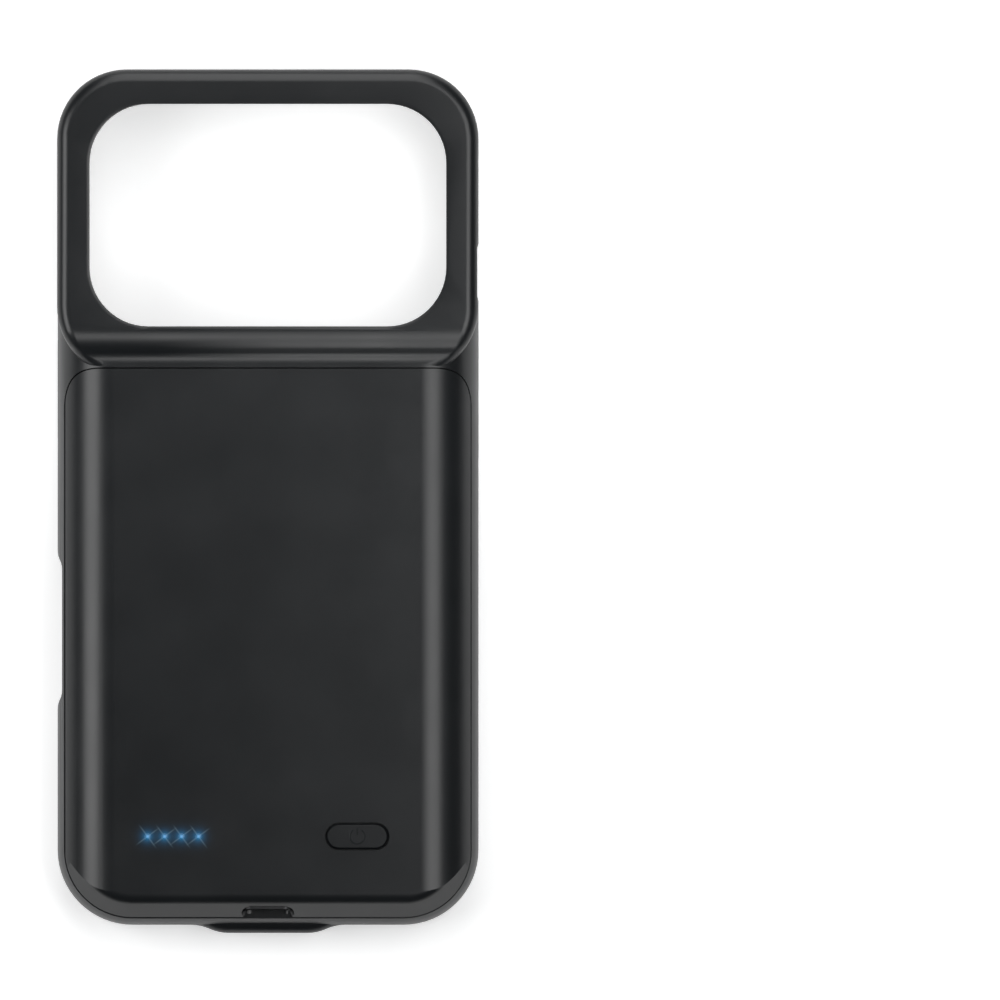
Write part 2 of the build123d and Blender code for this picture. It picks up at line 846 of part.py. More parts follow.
# Charging port
with BuildPart() as charge_port_shell:
    with BuildSketch(Plane.XZ.offset(-port_rear)):
        with Locations((0, port_z)):
            SlotOverall(port_width, port_height)
    extrude(amount=port_length)
    with BuildSketch(Plane.XZ.offset(-port_rear + port_back)):
        with Locations((0, port_z)):
            SlotOverall(port_width - 2 * port_shell, port_height - 2 * port_shell)
    extrude(amount=port_length - port_back, mode=Mode.SUBTRACT)
charge_port_shell.part.label = "charge_port_shell"
export_step(charge_port_shell.part, "parts/charge_port_shell.step")

with BuildPart() as charge_port_tongue:
    with BuildSketch(Plane.XZ.offset(-port_rear + port_back)):
        with Locations((0, port_z)):
            SlotOverall(
                port_width - 2 * (port_shell + port_core_gap),
                port_height - 2 * (port_shell + port_core_gap),
            )
    extrude(amount=port_core_length)
    with BuildSketch(Plane.XZ.offset(-port_rear + port_back)):
        with Locations((0, port_z)):
            Rectangle(port_tongue_width, port_tongue_height)
    extrude(amount=port_core_length + port_tongue_length)
charge_port_tongue.part.label = "charge_port_tongue"
export_step(charge_port_tongue.part, "parts/charge_port_tongue.step")

# Device plug
with BuildPart() as plug_base:
    with BuildSketch(Plane.XZ.offset(-pocket_bottom)):
        with Locations((0, device_z)):
            Rectangle(base_width, base_height)
    extrude(amount=base_depth)
    chamfer(plug_base.edges().filter_by(Axis.Y), base_corner)
    with BuildSketch(Plane.XZ.offset(-pocket_bottom)):
        with Locations((0, device_z)):
            SlotOverall(plug_width + 2 * plug_fit, plug_height + 2 * plug_fit)
    extrude(amount=plug_seat, mode=Mode.SUBTRACT)
plug_base.part.label = "plug_base"
export_step(plug_base.part, "parts/plug_base.step")

with BuildPart() as plug_tube:
    with BuildSketch(Plane.XZ.offset(-plug_tip)):
        with Locations((0, device_z)):
            SlotOverall(plug_width, plug_height)
            SlotOverall(plug_width - 2 * plug_shell, plug_height - 2 * plug_shell, mode=Mode.SUBTRACT)
    extrude(amount=plug_reach + plug_seat)
plug_tube.part.label = "plug_shell"
export_step(plug_tube.part, "parts/plug_shell.step")

with BuildPart() as plug_core:
    with BuildSketch(Plane.XZ.offset(-plug_tip + plug_lip)):
        with Locations((0, device_z)):
            SlotOverall(
                plug_width - 2 * (plug_shell + plug_fit),
                plug_height - 2 * (plug_shell + plug_fit),
            )
    extrude(amount=plug_reach + plug_seat - plug_lip)
    with BuildSketch(Plane.XZ.offset(-plug_tip + plug_lip)):
        with Locations((0, device_z)):
            Rectangle(plug_slot_width, plug_slot_height)
    extrude(amount=plug_slot_depth, mode=Mode.SUBTRACT)
plug_core.part.label = "plug_core"
export_step(plug_core.part, "parts/plug_core.step")

# Flex cable from the plug's base up to the board, and its connector
with BuildPart() as plug_flex:
    with BuildLine() as flex_path:
        FilletPolyline(
            (0, flex_y, device_z + base_height / 2),
            (0, flex_y, flex_z),
            (0, connector_end, flex_z),
            radius=flex_bend,
        )
    with BuildSketch(Plane(flex_path.line @ 0, x_dir=(1, 0, 0), z_dir=flex_path.line % 0)):
        Rectangle(flex_width, flex_thickness)
    sweep()
plug_flex.part.label = "plug_flex"
export_step(plug_flex.part, "parts/plug_flex.step")

with BuildPart() as flex_connector:
    with BuildSketch(Plane.XY.offset(flex_z + flex_thickness / 2)):
        with Locations((0, connector_end - connector_length / 2)):
            Rectangle(connector_width, connector_length)
    extrude(amount=board_z - flex_z - flex_thickness / 2)
flex_connector.part.label = "flex_connector"
export_step(flex_connector.part, "parts/flex_connector.step")

# Battery cell, its tape, tabs, protection board and leads
with BuildPart() as battery_cell:
    with BuildSketch(Plane.XY.offset(cell_z)):
        with Locations((0, cell_y)):
            Rectangle(cell_width, cell_length)
    extrude(amount=cell_thickness)
    chamfer(battery_cell.faces().sort_by(Axis.Z)[-1].edges(), cell_bevel)
    with BuildSketch(Plane.XY.offset(cell_z)):
        with Locations((0, guard_y)):
            Rectangle(cell_width - 2 * terrace_inset, terrace_length + 2 * cell_bevel)
    extrude(amount=terrace_thickness)
battery_cell.part.label = "battery_cell"
export_step(battery_cell.part, "parts/battery_cell.step")

with BuildPart() as cell_tape:
    with BuildSketch(Plane.XY.offset(floor_z)):
        tape_x = (cell_width - tape_width) / 2 - tape_inset
        with Locations((-tape_x, cell_y), (tape_x, cell_y)):
            Rectangle(tape_width, cell_length - 2 * tape_inset)
    extrude(amount=tape_thickness)
cell_tape.part.label = "cell_tape"
export_step(cell_tape.part, "parts/cell_tape.step")

with BuildPart() as cell_tabs:
    with BuildSketch(Plane.XY.offset(tab_z)):
        with Locations((-tab_spacing / 2, guard_y), (tab_spacing / 2, guard_y)):
            Rectangle(tab_width, terrace_length)
    extrude(amount=tab_thickness)
cell_tabs.part.label = "cell_tabs"
export_step(cell_tabs.part, "parts/cell_tabs.step")

with BuildPart() as protection_board:
    with BuildSketch(Plane.XY.offset(guard_z)):
        with Locations((0, guard_y)):
            Rectangle(guard_width, guard_length)
    extrude(amount=guard_thickness)
protection_board.part.label = "protection_board"
export_step(protection_board.part, "parts/protection_board.step")

with BuildPart() as battery_leads:
    for side in (-1, 1):
        with BuildSketch(Plane.YZ.offset(side * lead_spacing / 2)):
            with BuildLine():
                under = Polyline(
                    (guard_y, guard_top_z),
                    (terrace_bottom, guard_top_z),
                    (board_top, board_top_z),
                    (board_top - lead_landing, board_top_z),
                )
                Line(under @ 1, (board_top - lead_landing, board_top_z + lead_thickness))
                Polyline(
                    (board_top - lead_landing, board_top_z + lead_thickness),
                    (board_top, board_top_z + lead_thickness),
                    (terrace_bottom, guard_top_z + lead_thickness),
                    (guard_y, guard_top_z + lead_thickness),
                    under @ 0,
                )
            make_face()
        extrude(amount=lead_width / 2, both=True)
battery_leads.part.label = "battery_leads"
export_step(battery_leads.part, "parts/battery_leads.step")


# Key caps: pad, retaining flange and the nub that meets the device's key
def key_cap(side, middle, length):
    with BuildPart() as cap:
        with BuildSketch(Plane.YZ.offset(side * key_seat)):
            with Locations((middle, device_z)):
                SlotOverall(length, key_height)
        extrude(amount=side * key_web)
        chamfer(cap.faces().sort_by(Axis.X)[-1 if side > 0 else 0].edges(), key_bevel)
        with BuildSketch(Plane.YZ.offset(side * key_seat)):
            with Locations((middle, device_z)):
                Rectangle(length + 2 * key_flange, key_height + 2 * key_flange)
        extrude(amount=-side * key_flange_thickness)
        with BuildSketch(Plane.YZ.offset(side * (key_seat - key_flange_thickness))):
            with Locations((middle, device_z)):
                Rectangle(key_nub_length, key_nub_height)
        extrude(amount=-side * (side_wall - key_web - key_flange_thickness - key_nub_gap))
    return cap.part


side_key = key_cap(-1, side_key_y, side_key_length)
side_key.label = "side_key"
export_step(side_key, "parts/side_key.step")

volume_up_key = key_cap(1, volume_up_y, volume_key_length)
volume_up_key.label = "volume_up_key"
export_step(volume_up_key, "parts/volume_up_key.step")

volume_down_key = key_cap(1, volume_down_y, volume_key_length)
volume_down_key.label = "volume_down_key"
export_step(volume_down_key, "parts/volume_down_key.step")
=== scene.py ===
"""Battery charging case: finishes, fine pieces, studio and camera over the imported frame."""

import math

import bmesh
import bpy
from mathutils import Matrix, Vector


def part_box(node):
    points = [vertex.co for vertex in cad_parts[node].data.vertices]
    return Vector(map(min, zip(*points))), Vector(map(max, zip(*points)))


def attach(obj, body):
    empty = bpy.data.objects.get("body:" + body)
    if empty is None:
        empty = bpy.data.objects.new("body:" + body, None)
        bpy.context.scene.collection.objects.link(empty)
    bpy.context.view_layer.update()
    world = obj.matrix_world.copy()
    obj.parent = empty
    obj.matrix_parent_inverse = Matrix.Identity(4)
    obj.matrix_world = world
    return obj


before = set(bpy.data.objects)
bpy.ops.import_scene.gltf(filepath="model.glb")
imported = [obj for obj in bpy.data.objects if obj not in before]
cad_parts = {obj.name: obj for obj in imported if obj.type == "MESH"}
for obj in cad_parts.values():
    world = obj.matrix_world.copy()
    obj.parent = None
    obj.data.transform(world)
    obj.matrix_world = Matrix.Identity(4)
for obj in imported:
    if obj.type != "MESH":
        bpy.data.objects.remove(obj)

bl_info = {
    "name": "Battery Charging Case",
    "version": (1, 0, 0),
    "blender": (4, 5, 0),
    "location": "View3D > Sidebar > Case",
    "description": "Finishes, fine pieces and studio for the battery charging case",
    "category": "Object",
}

MM = 0.001
X_AXIS = Vector((1.0, 0.0, 0.0))
Z_AXIS = Vector((0.0, 0.0, 1.0))
BLACK = (0.0, 0.0, 0.0)
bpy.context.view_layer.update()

# Range that holds most of a noise's values
NOISE_LOW = 0.3
NOISE_HIGH = 0.7

# Sockets of a Mix node that mixes colours
MIX_FACTOR = 0
MIX_FIRST = 6
MIX_SECOND = 7
MIX_RESULT = 2

# Corners of the frame's meshes nearer than this are one
WELD_REACH = 0.002 * MM

# Bends in degrees past which an edge stays crisp; the cover's long creases are flatter than most
EDGE_ANGLE = 26.0
COVER_EDGE_ANGLE = 14.0

# How strongly the large faces lead the shading
FLAT_WEIGHT = 80

# Share of a ray's length over which it doesn't fade
RAY_FULL_SHARE = 0.4

# Room under the rim, so that rim and floor don't share a plane
FLOOR_DROP = 0.02 * MM

# Angles in degrees over which a bare and a gridded lamp throw their light
BARE_SPREAD = 180.0
GRID_SPREAD = 24.0

# Camera's sensor in millimetres, and how far it sees in metres
SENSOR_WIDTH = 36.0
CAMERA_REACH = 100.0


class CaseFinish(bpy.types.PropertyGroup):
    """Colours and surface values of the case."""

    plastic_colour: bpy.props.FloatVectorProperty(
        name="Plastic colour",
        description="Base colour of the satin black moulding",
        default=(0.0043, 0.0052, 0.0062),
        subtype="COLOR",
        min=0.0,
        max=1.0,
    )
    plastic_roughness: bpy.props.FloatProperty(
        name="Plastic roughness",
        description="Mean roughness of the satin moulding",
        default=0.33,
        subtype="FACTOR",
        min=0.0,
        max=1.0,
    )
    grain_size: bpy.props.FloatProperty(
        name="Grain size",
        description="Spacing of the fine spark grain in the mould",
        default=0.22 * MM,
        unit="LENGTH",
    )
    # The core colour is the status lights' own light; the spill and the four fine rays set below are
    # painted glow on the cover and the lenses.
    core_colour: bpy.props.FloatVectorProperty(
        name="Status light core",
        description="Colour of a lit status light in its middle",
        default=(0.16, 0.40, 0.72),
        subtype="COLOR",
        min=0.0,
        max=1.0,
    )
    core_radius: bpy.props.FloatProperty(
        name="Core radius",
        description="Radius in which a status light fades from its core to its spill",
        default=0.40 * MM,
        unit="LENGTH",
    )
    # This colour tints the board lights' own glow, and the painted spill round each status light's core.
    light_colour: bpy.props.FloatVectorProperty(
        name="Status light colour",
        description="Colour of a lit status light round its core and of its spill",
        default=(0.025, 0.25, 0.54),
        subtype="COLOR",
        min=0.0,
        max=1.0,
    )
    painted_spill_reach: bpy.props.FloatProperty(
        name="Spill reach",
        description="Distance from a status light over which its spill falls to about a third",
        default=0.55 * MM,
        unit="LENGTH",
    )
    # The rays are painted glow: four fine streaks like a camera's flare, drawn on the surface round each
    # light.
    painted_ray_colour: bpy.props.FloatVectorProperty(
        name="Ray colour",
        description="Paler colour of the fine rays round a status light",
        default=(0.044, 0.066, 0.078),
        subtype="COLOR",
        min=0.0,
        max=1.0,
    )
    ray_turn: bpy.props.FloatProperty(
        name="Ray turn",
        description="Turn of the four rays from the row of lights",
        default=math.radians(36.5),
        subtype="ANGLE",
    )
    ray_length: bpy.props.FloatProperty(
        name="Ray length",
        description="Length of each of the four fine rays round a status light",
        default=3.0 * MM,
        unit="LENGTH",
    )
    ray_width: bpy.props.FloatProperty(
        name="Ray width",
        description="Half width of a fine ray",
        default=0.22 * MM,
        unit="LENGTH",
    )


class CaseDetails(bpy.types.PropertyGroup):
    """Sizes of the fine pieces."""

    lens_diameter: bpy.props.FloatProperty(
        name="Lens diameter",
        description="Diameter of the domed lens on each light guide",
        default=1.15 * MM,
        unit="LENGTH",
    )
    lens_rise: bpy.props.FloatProperty(
        name="Lens rise",
        description="Height of the lens over the cover",
        default=0.10 * MM,
        unit="LENGTH",
    )
    mark_radius: bpy.props.FloatProperty(
        name="Mark radius",
        description="Radius of the plain on and off ring on the button",
        default=1.35 * MM,
        unit="LENGTH",
    )
    mark_width: bpy.props.FloatProperty(
        name="Mark width",
        description="Width of the line of the button's ring",
        default=0.26 * MM,
        unit="LENGTH",
    )
    mark_rise: bpy.props.FloatProperty(
        name="Mark rise",
        description="Height of the button's ring over its face",
        default=0.02 * MM,
        unit="LENGTH",
    )
    contact_pitch: bpy.props.FloatProperty(
        name="Contact pitch",
        description="Spacing of the contacts in the port and in the plug",
        default=0.50 * MM,
        unit="LENGTH",
    )
    contact_width: bpy.props.FloatProperty(
        name="Contact width",
        description="Width of one contact",
        default=0.26 * MM,
        unit="LENGTH",
    )
    contact_thickness: bpy.props.FloatProperty(
        name="Contact thickness",
        description="Height of one contact over the plastic that carries it",
        default=0.05 * MM,
        unit="LENGTH",
    )
    contact_count: bpy.props.IntProperty(
        name="Contacts per side",
        description="Contacts on each side of the port's tongue and of the plug's slot",
        default=12,
        min=2,
    )
    port_tongue_height: bpy.props.FloatProperty(
        name="Port tongue height",
        description="Thickness of the port's tongue",
        default=0.70 * MM,
        unit="LENGTH",
    )
    port_contact_length: bpy.props.FloatProperty(
        name="Port contact length",
        description="Length of the contacts on the port's tongue",
        default=4.0 * MM,
        unit="LENGTH",
    )
    plug_slot_height: bpy.props.FloatProperty(
        name="Plug slot height",
        description="Height of the slot in the plug's core",
        default=0.85 * MM,
        unit="LENGTH",
    )
    plug_contact_length: bpy.props.FloatProperty(
        name="Plug contact length",
        description="Length of the spring contacts in the plug's slot",
        default=4.4 * MM,
        unit="LENGTH",
    )
    capacitor_length: bpy.props.FloatProperty(
        name="Capacitor length",
        description="Length of one chip capacitor",
        default=1.6 * MM,
        unit="LENGTH",
    )


class CaseStudio(bpy.types.PropertyGroup):
    """Stage, lamps and camera."""

    picture_width: bpy.props.FloatProperty(
        name="Picture width",
        description="Width across the back of the case that fills the square picture",
        default=182.7 * MM,
        unit="LENGTH",
    )
    lens: bpy.props.FloatProperty(
        name="Lens",
        description="Focal length in millimetres, long enough for a nearly flat view",
        default=1500.0,
        min=1.0,
    )
    aim_right: bpy.props.FloatProperty(
        name="Aim to the right",
        description="How far to the right of the case's middle the camera looks down",
        default=42.43 * MM,
        unit="LENGTH",
    )
    aim_up: bpy.props.FloatProperty(
        name="Aim up the case",
        description="How far past the case's middle, to its window end, the camera looks down",
        default=0.27 * MM,
        unit="LENGTH",
    )
    floor_size: bpy.props.FloatProperty(
        name="Floor size",
        description="Side of the pale floor",
        default=6.0,
        unit="LENGTH",
    )
    floor_colour: bpy.props.FloatVectorProperty(
        name="Floor colour",
        description="Colour of the pale floor",
        default=(0.84, 0.84, 0.84),
        subtype="COLOR",
        min=0.0,
        max=1.0,
    )
    floor_lift: bpy.props.FloatProperty(
        name="Floor lift",
        description="Light that the floor adds of itself so that it reads as white",
        default=0.46,
        min=0.0,
    )
    lift_start: bpy.props.FloatProperty(
        name="Lift start",
        description="Distance from the case's middle from which the floor's lift grows",
        default=0.20,
        unit="LENGTH",
    )
    lift_end: bpy.props.FloatProperty(
        name="Lift end",
        description="Distance from the case's middle where the floor is white of itself",
        default=0.60,
        unit="LENGTH",
    )
    mirror_lift: bpy.props.FloatProperty(
        name="Mirrored floor lift",
        description="Light that the floor adds of itself in reflections, where it reads as white too",
        default=0.16,
        min=0.0,
    )
    room_level: bpy.props.FloatProperty(
        name="Room level",
        description="Brightness of the even light from all round",
        default=0.08,
        min=0.0,
    )
    room_colour: bpy.props.FloatVectorProperty(
        name="Room colour",
        description="Slightly cool colour of the even light from all round",
        default=(0.90, 0.96, 1.0),
        subtype="COLOR",
        min=0.0,
        max=1.0,
    )
    left_power: bpy.props.FloatProperty(
        name="Left lamp",
        description="Power of the softbox on the left",
        default=1.09,
        unit="POWER",
    )
    right_power: bpy.props.FloatProperty(
        name="Right lamp",
        description="Power of the softbox on the right",
        default=0.81,
        unit="POWER",
    )
    top_power: bpy.props.FloatProperty(
        name="Top lamp",
        description="Power of the softbox past the window end",
        default=1.48,
        unit="POWER",
    )
    slope_power: bpy.props.FloatProperty(
        name="Slope lamp",
        description="Power of the small gridded lamp for the slope below the window",
        default=0.0027,
        unit="POWER",
    )
    foot_power: bpy.props.FloatProperty(
        name="Slope foot lamp",
        description="Power of the small gridded lamp for the foot of that slope, on its right",
        default=0.0011,
        unit="POWER",
    )


def finish():
    """Present colours and surface values."""
    return bpy.context.scene.case_finish


def details():
    """Present sizes of the fine pieces."""
    return bpy.context.scene.case_details


def studio():
    """Present values of the stage, lamps and camera."""
    return bpy.context.scene.case_studio


# Shader building blocks


def add_node(tree, kind, values=None, **settings):
    """Adds a node, with its settings and the values of its unlinked inputs."""
    made = tree.nodes.new(kind)
    for key, value in settings.items():
        setattr(made, key, value)
    for socket, value in (values or {}).items():
        made.inputs[socket].default_value = value
    return made


def feed(tree, value, socket):
    """Feeds a socket from another socket or with a plain number."""
    if isinstance(value, (int, float)):
        socket.default_value = value
    else:
        tree.links.new(value, socket)


def math_node(tree, operation, first, second=None, clamp=False):
    """A Math node between sockets or plain numbers; returns its output."""
    made = add_node(tree, "ShaderNodeMath", operation=operation, use_clamp=clamp)
    feed(tree, first, made.inputs[0])
    if second is not None:
        feed(tree, second, made.inputs[1])
    return made.outputs[0]


def map_range(tree, value, low, high, to_low, to_high, smooth=False):
    """Maps a socket's values from one range to another; returns the output."""
    made = add_node(
        tree,
        "ShaderNodeMapRange",
        {"From Min": low, "From Max": high, "To Min": to_low, "To Max": to_high},
        interpolation_type="SMOOTHSTEP" if smooth else "LINEAR",
    )
    tree.links.new(value, made.inputs["Value"])
    return made.outputs["Result"]


def mix_colour(tree, factor, first, second):
    """Mixes two colours, each a socket or a plain colour, by a socket; returns the output."""
    made = add_node(tree, "ShaderNodeMix", data_type="RGBA")
    tree.links.new(factor, made.inputs[MIX_FACTOR])
    for index, value in ((MIX_FIRST, first), (MIX_SECOND, second)):
        if isinstance(value, bpy.types.NodeSocket):
            tree.links.new(value, made.inputs[index])
        else:
            made.inputs[index].default_value = (*value, 1.0)
    return made.outputs[MIX_RESULT]


def object_place(tree):
    """Place on the surface, in the case's own frame."""
    return add_node(tree, "ShaderNodeTexCoord").outputs["Object"]


def noise(tree, place, scale, detail=2.0, roughness=0.5):
    """Noise at a scale that is a number or a socket; returns its value."""
    made = add_node(tree, "ShaderNodeTexNoise", {"Detail": detail, "Roughness": roughness})
    tree.links.new(place, made.inputs["Vector"])
    feed(tree, scale, made.inputs["Scale"])
    return made.outputs[0]


def noise_range(tree, value, low, high):
    """Maps a noise's usual values to a range; returns the output."""
    return map_range(tree, value, NOISE_LOW, NOISE_HIGH, low, high)


def bump(tree, height, strength, distance):
    """Bump from a height; returns the normal."""
    made = add_node(tree, "ShaderNodeBump", {"Strength": strength, "Distance": distance})
    tree.links.new(height, made.inputs["Height"])
    return made.outputs["Normal"]


def new_group(name, inputs, outputs):
    """An empty shader group with float inputs, given with their defaults, and outputs."""
    tree = bpy.data.node_groups.new(name, "ShaderNodeTree")
    for label, default in inputs.items():
        socket = tree.interface.new_socket(label, in_out="INPUT", socket_type="NodeSocketFloat")
        socket.default_value = default
    for label in outputs:
        tree.interface.new_socket(label, in_out="OUTPUT", socket_type="NodeSocketFloat")
    return tree, tree.nodes.new("NodeGroupInput"), tree.nodes.new("NodeGroupOutput")


def place_group(tree, group, values):
    """Places a group in a material with its own values."""
    made = tree.nodes.new("ShaderNodeGroup")
    made.node_tree = group
    for label, value in values.items():
        made.inputs[label].default_value = value
    return made


def moulded_grain():
    """Fine grain of a spark-finished mould, with broad faint patches."""
    if "Moulded grain" in bpy.data.node_groups:
        return bpy.data.node_groups["Moulded grain"]
    tree, given, put = new_group(
        "Moulded grain", {"Grain size": 0.2 * MM, "Patch size": 14.0 * MM}, ("Height", "Patches")
    )
    place = object_place(tree)
    fine = noise(tree, place, math_node(tree, "DIVIDE", 1.0, given.outputs["Grain size"]), detail=2.0)
    broad = noise(tree, place, math_node(tree, "DIVIDE", 1.0, given.outputs["Patch size"]), detail=4.0)
    tree.links.new(fine, put.inputs["Height"])
    tree.links.new(broad, put.inputs["Patches"])
    return tree


def drawn_lines():
    """Long fine lines that drawing or rolling leaves in metal along Y."""
    if "Drawn lines" in bpy.data.node_groups:
        return bpy.data.node_groups["Drawn lines"]
    tree, given, put = new_group(
        "Drawn lines", {"Line size": 0.1 * MM, "Stretch": 24.0}, ("Height", "Stains")
    )
    place = object_place(tree)
    across = add_node(tree, "ShaderNodeSeparateXYZ")
    tree.links.new(place, across.inputs[0])
    along = math_node(tree, "DIVIDE", across.outputs["Y"], given.outputs["Stretch"])
    joined = add_node(tree, "ShaderNodeCombineXYZ")
    tree.links.new(across.outputs["X"], joined.inputs["X"])
    tree.links.new(along, joined.inputs["Y"])
    tree.links.new(across.outputs["Z"], joined.inputs["Z"])
    fine = noise(
        tree,
        joined.outputs[0],
        math_node(tree, "DIVIDE", 1.0, given.outputs["Line size"]),
        detail=3.0,
    )
    tree.links.new(fine, put.inputs["Height"])
    tree.links.new(noise(tree, place, scale=400.0, detail=4.0), put.inputs["Stains"])
    return tree


def new_material(name, metallic=0.0, ior=1.5):
    """A material and its tree and shader."""
    material = bpy.data.materials.new(name)
    material.use_nodes = True
    shader = material.node_tree.nodes["Principled BSDF"]
    shader.inputs["Metallic"].default_value = metallic
    shader.inputs["IOR"].default_value = ior
    return material, material.node_tree, shader


def shade(colour, factor):
    """A colour made darker or lighter by a factor."""
    return tuple(min(1.0, c * factor) for c in colour)


# Finishes


def moulded_plastic(name, colour, roughness, grain_size, depth=0.012 * MM, ior=1.5):
    """Moulded plastic: even colour, faint patches and a fine grain."""
    material, tree, shader = new_material(name, ior=ior)
    grain = place_group(tree, moulded_grain(), {"Grain size": grain_size})
    patches = noise_range(tree, grain.outputs["Patches"], 0.0, 1.0)
    tree.links.new(
        mix_colour(tree, patches, shade(colour, 0.94), shade(colour, 1.06)),
        shader.inputs["Base Color"],
    )
    tree.links.new(
        map_range(tree, patches, 0.0, 1.0, roughness - 0.02, roughness + 0.02),
        shader.inputs["Roughness"],
    )
    normal = bump(tree, grain.outputs["Height"], strength=0.25, distance=depth)
    tree.links.new(normal, shader.inputs["Normal"])
    return material


def satin_black(name, tint=1.0):
    """The case's own satin black, made a little darker or lighter by a tint."""
    values = finish()
    return moulded_plastic(
        name, shade(values.plastic_colour, tint), values.plastic_roughness, values.grain_size
    )


def drawn_metal(name, colour, roughness, line_size):
    """Metal with fine drawn lines and faint stains."""
    material, tree, shader = new_material(name, metallic=1.0)
    lines = place_group(tree, drawn_lines(), {"Line size": line_size})
    stains = map_range(tree, lines.outputs["Stains"], 0.35, 0.7, 0.0, 1.0)
    tree.links.new(mix_colour(tree, stains, colour, shade(colour, 0.86)), shader.inputs["Base Color"])
    tree.links.new(
        map_range(tree, stains, 0.0, 1.0, roughness - 0.04, roughness + 0.08),
        shader.inputs["Roughness"],
    )
    normal = bump(tree, lines.outputs["Height"], strength=0.3, distance=0.004 * MM)
    tree.links.new(normal, shader.inputs["Normal"])
    return material


def light_places():
    """Middles of the light guides, in plan, from their row in the frame."""
    low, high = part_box("light_guides")
    foot = high.y - low.y
    pitch = (high.x - low.x - foot) / 3
    middle = (low.y + high.y) / 2
    return [(low.x + foot / 2 + i * pitch, middle) for i in range(4)]


def painted_light_star():
    """Core of each status light, with a painted spill of glow round it and four painted rays like a
    camera's flare, by the place on the surface.
    """
    if "Painted light star" in bpy.data.node_groups:
        return bpy.data.node_groups["Painted light star"]
    values = finish()
    tree, given, put = new_group(
        "Painted light star",
        {"Core radius": values.core_radius, "Spill reach": values.painted_spill_reach},
        ("Core", "Spill", "Painted rays"),
    )
    place = object_place(tree)
    found = {}
    for middle_x, middle_y in light_places():
        turned = add_node(
            tree,
            "ShaderNodeVectorRotate",
            {"Center": (middle_x, middle_y, 0.0), "Angle": -values.ray_turn},
            rotation_type="Z_AXIS",
        )
        tree.links.new(place, turned.inputs["Vector"])
        parts = add_node(tree, "ShaderNodeSeparateXYZ")
        tree.links.new(turned.outputs[0], parts.inputs[0])
        away_x = math_node(tree, "ABSOLUTE", math_node(tree, "SUBTRACT", parts.outputs["X"], middle_x))
        away_y = math_node(tree, "ABSOLUTE", math_node(tree, "SUBTRACT", parts.outputs["Y"], middle_y))
        near = math_node(
            tree,
            "SQRT",
            math_node(
                tree,
                "ADD",
                math_node(tree, "MULTIPLY", away_x, away_x),
                math_node(tree, "MULTIPLY", away_y, away_y),
            ),
        )
        core = math_node(tree, "DIVIDE", near, given.outputs["Core radius"], clamp=True)
        fall = math_node(tree, "DIVIDE", near, given.outputs["Spill reach"])
        # The spill is painted glow on the surface round each light, fading with distance from it.
        lights = [
            ("Core", math_node(tree, "SUBTRACT", 1.0, core)),
            ("Spill", math_node(tree, "EXPONENT", math_node(tree, "MULTIPLY", fall, -1.0))),
        ]
        # Two painted streaks crossing at each light make its four painted rays.
        for along, across in ((away_x, away_y), (away_y, away_x)):
            full = RAY_FULL_SHARE * values.ray_length
            fade = map_range(tree, along, full, values.ray_length, 1.0, 0.0, smooth=True)
            edge = map_range(tree, across, 0.0, values.ray_width, 1.0, 0.0, smooth=True)
            lights.append(("Painted rays", math_node(tree, "MULTIPLY", fade, edge)))
        for label, light in lights:
            found[label] = math_node(tree, "ADD", found[label], light) if label in found else light
    for label, light in found.items():
        tree.links.new(light, put.inputs[label])
    return tree


def painted_star_light(tree):
    """Colour of the status lights' light at the place on the surface: their own core, and a painted
    spill and painted rays round it.
    """
    values = finish()
    star = place_group(tree, painted_light_star(), {})
    spill = mix_colour(tree, star.outputs["Spill"], BLACK, values.light_colour)
    rays = mix_colour(tree, star.outputs["Painted rays"], BLACK, values.painted_ray_colour)
    both = add_node(tree, "ShaderNodeMix", {MIX_FACTOR: 1.0}, data_type="RGBA", blend_type="ADD")
    tree.links.new(spill, both.inputs[MIX_FIRST])
    tree.links.new(rays, both.inputs[MIX_SECOND])
    return mix_colour(tree, star.outputs["Core"], both.outputs[MIX_RESULT], values.core_colour)


def cover_plastic_painted_glow():
    """Satin black of the cover, with the status lights' spill and rays painted on it as glow."""
    material = satin_black("Satin black cover with painted glow")
    tree = material.node_tree
    shader = tree.nodes["Principled BSDF"]
    # This emission is painted glow: the status lights' spill and rays drawn on the cover, which is no
    # lamp.
    tree.links.new(painted_star_light(tree), shader.inputs["Emission Color"])
    shader.inputs["Emission Strength"].default_value = 1.0
    return material


def lit_lens():
    """Clear dark lens, lit from below, brightest in its middle, with the painted spill and painted rays
    of the status lights on it too.
    """
    material, tree, shader = new_material("Lit lens")
    shader.inputs["Base Color"].default_value = (0.006, 0.010, 0.014, 1.0)
    cells = noise(tree, object_place(tree), scale=1500.0, detail=1.0)
    tree.links.new(noise_range(tree, cells, 0.28, 0.36), shader.inputs["Roughness"])
    tree.links.new(painted_star_light(tree), shader.inputs["Emission Color"])
    shader.inputs["Emission Strength"].default_value = 1.0
    return material


def solder_mask():
    """Green board with paler traces under the mask."""
    material, tree, shader = new_material("Green solder mask")
    place = object_place(tree)
    cells = add_node(
        tree,
        "ShaderNodeTexVoronoi",
        {"Scale": 520.0, "Randomness": 0.6},
        feature="DISTANCE_TO_EDGE",
    )
    tree.links.new(place, cells.inputs["Vector"])
    traces = map_range(tree, cells.outputs["Distance"], 0.05, 0.08, 1.0, 0.0)
    tree.links.new(
        mix_colour(tree, traces, (0.008, 0.060, 0.030), (0.020, 0.130, 0.055)),
        shader.inputs["Base Color"],
    )
    sheen = noise_range(tree, noise(tree, place, scale=900.0), 0.22, 0.34)
    tree.links.new(sheen, shader.inputs["Roughness"])
    tree.links.new(bump(tree, traces, strength=0.4, distance=0.02 * MM), shader.inputs["Normal"])
    return material


